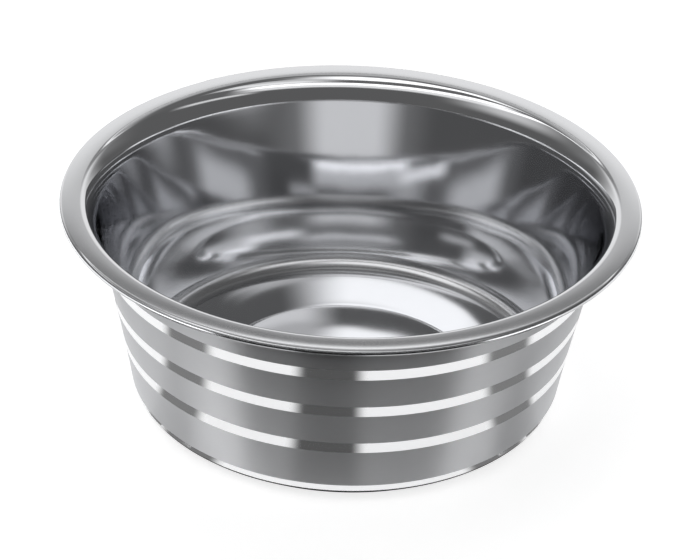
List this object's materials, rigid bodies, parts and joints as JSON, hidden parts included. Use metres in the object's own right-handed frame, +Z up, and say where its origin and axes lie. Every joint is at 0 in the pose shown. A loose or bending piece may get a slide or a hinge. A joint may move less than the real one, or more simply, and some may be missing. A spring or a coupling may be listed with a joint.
{
  "type": "pet feeding dish",
  "caption": "Round pressed-steel pet feeding dish with a flat rolled rim, a flared wall, a raised floor disc and a rubber ring that stops it sliding.",
  "frame": {"origin": "middle of the footprint, on the surface that the dish stands on", "axes": "+Z up along the dish's axis; +X and +Y are any two directions square to it, because the dish is round"},
  "size_m": [0.22, 0.22, 0.084],
  "materials": {
    "stainless_steel": "outside wall satin, brushed round the axis, with mirror-polished bands and base corner; rim and inside polished",
    "black_rubber": "matt moulded"
  },
  "bodies": {
    "root": {"bowl_shell": "stainless_steel", "anti_skid_ring": "black_rubber"}
  },
  "joints": []
}
